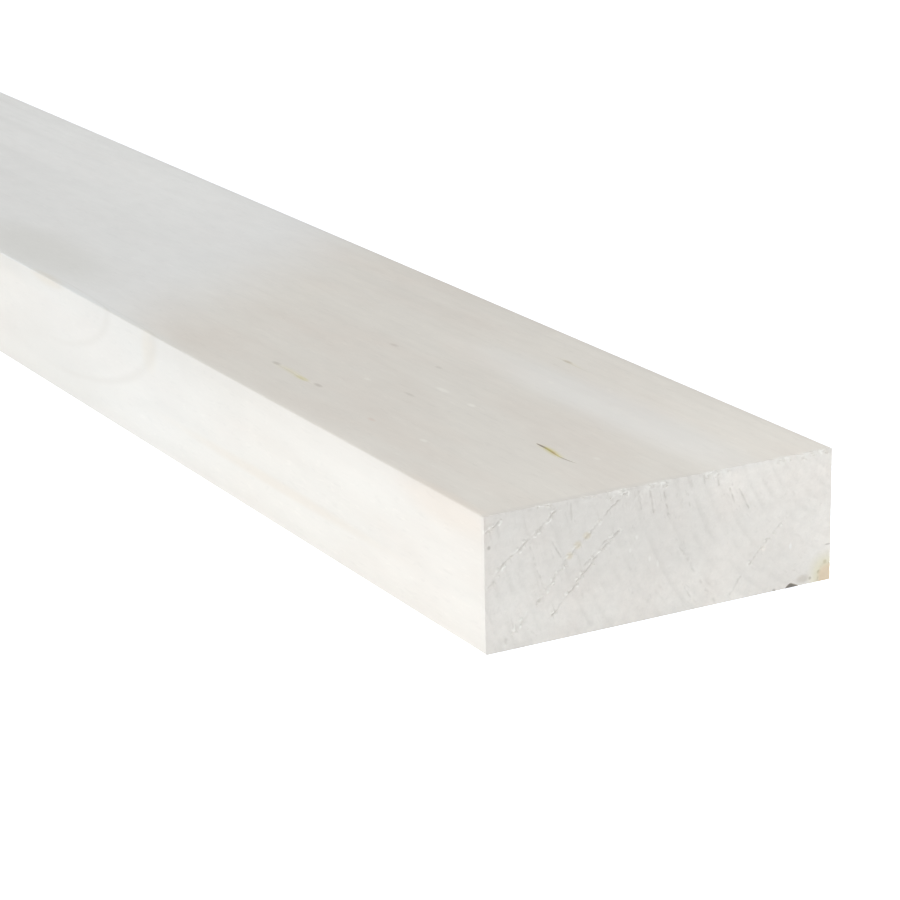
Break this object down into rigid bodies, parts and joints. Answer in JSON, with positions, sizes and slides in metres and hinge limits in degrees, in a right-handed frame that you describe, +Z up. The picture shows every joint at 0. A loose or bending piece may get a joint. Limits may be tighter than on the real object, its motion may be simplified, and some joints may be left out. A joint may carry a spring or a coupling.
{
  "type": "timber plank",
  "caption": "Straight planed softwood plank with just-broken long edges, square sawn ends and small natural defects, for building, framing and joinery.",
  "frame": {"origin": "middle of the underside, the wide face that the plank lies on", "axes": "+X along the length, towards the sawn end that shows the pitch pocket and the edge knot; +Y across the width; +Z up through the thickness"},
  "size_m": [1.8, 0.095, 0.033],
  "materials": {
    "planed_whitewood": "planed, unfinished"
  },
  "bodies": {
    "root": {"plank": "planed_whitewood"}
  },
  "joints": []
}
